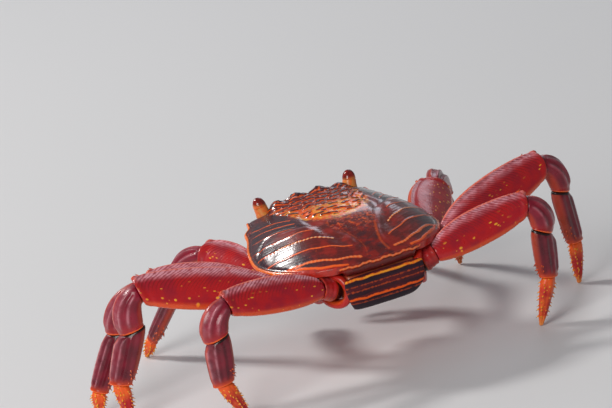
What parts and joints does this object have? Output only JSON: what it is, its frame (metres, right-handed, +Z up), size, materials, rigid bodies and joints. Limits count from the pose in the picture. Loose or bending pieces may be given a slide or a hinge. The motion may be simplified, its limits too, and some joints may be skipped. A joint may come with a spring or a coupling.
{
  "type": "sally lightfoot crab model",
  "caption": "Life-size still model of a sally lightfoot crab standing on its walking legs, with raised eyes, small claws and a broad low carapace.",
  "frame": {"origin": "centre of the bounding box on the floor plane, under the crab", "axes": "+X towards the crab's left side, along its longest extent, -Y the way it faces, +Z up from the floor"},
  "size_m": [0.1968, 0.1172, 0.0607],
  "materials": {
    "shell": "glossy shell, near black to dark maroon with thin orange lines",
    "breast": "smooth shell, orange brown",
    "leg": "glossy deep red shell with fine cross lines",
    "joint": "glossy crimson shell",
    "foot": "orange red shell with short spines",
    "claw": "glossy red shell with pale finger tips",
    "stalk": "orange tan",
    "cornea": "glossy dark red eye surface",
    "feeler": "dull red"
  },
  "bodies": {
    "root": {"carapace": "shell", "breast": "breast", "tail_flap": "breast", "leg1_base_left": "joint", "leg1_merus_left": "leg", "leg1_carpus_left": "joint", "leg1_propodus_left": "leg", "leg1_dactyl_left": "foot", "leg2_base_left": "joint", "leg2_merus_left": "leg", "leg2_carpus_left": "joint", "leg2_propodus_left": "leg", "leg2_dactyl_left": "foot", "leg3_base_left": "joint", "leg3_merus_left": "leg", "leg3_carpus_left": "joint", "leg3_propodus_left": "leg", "leg3_dactyl_left": "foot", "leg4_base_left": "joint", "leg4_merus_left": "leg", "leg4_carpus_left": "joint", "leg4_propodus_left": "leg", "leg4_dactyl_left": "foot", "claw_arm_left": "claw", "claw_wrist_left": "claw", "claw_palm_left": "claw", "claw_finger_left": "claw", "eyestalk_left": "stalk", "cornea_left": "cornea", "feeler_left": "feeler", "mouth_plate_left": "breast", "leg1_base_right": "joint", "leg1_merus_right": "leg", "leg1_carpus_right": "joint", "leg1_propodus_right": "leg", "leg1_dactyl_right": "foot", "leg2_base_right": "joint", "leg2_merus_right": "leg", "leg2_carpus_right": "joint", "leg2_propodus_right": "leg", "leg2_dactyl_right": "foot", "leg3_base_right": "joint", "leg3_merus_right": "leg", "leg3_carpus_right": "joint", "leg3_propodus_right": "leg", "leg3_dactyl_right": "foot", "leg4_base_right": "joint", "leg4_merus_right": "leg", "leg4_carpus_right": "joint", "leg4_propodus_right": "leg", "leg4_dactyl_right": "foot", "claw_arm_right": "claw", "claw_wrist_right": "claw", "claw_palm_right": "claw", "claw_finger_right": "claw", "eyestalk_right": "stalk", "cornea_right": "cornea", "feeler_right": "feeler", "mouth_plate_right": "breast"}
  },
  "joints": []
}
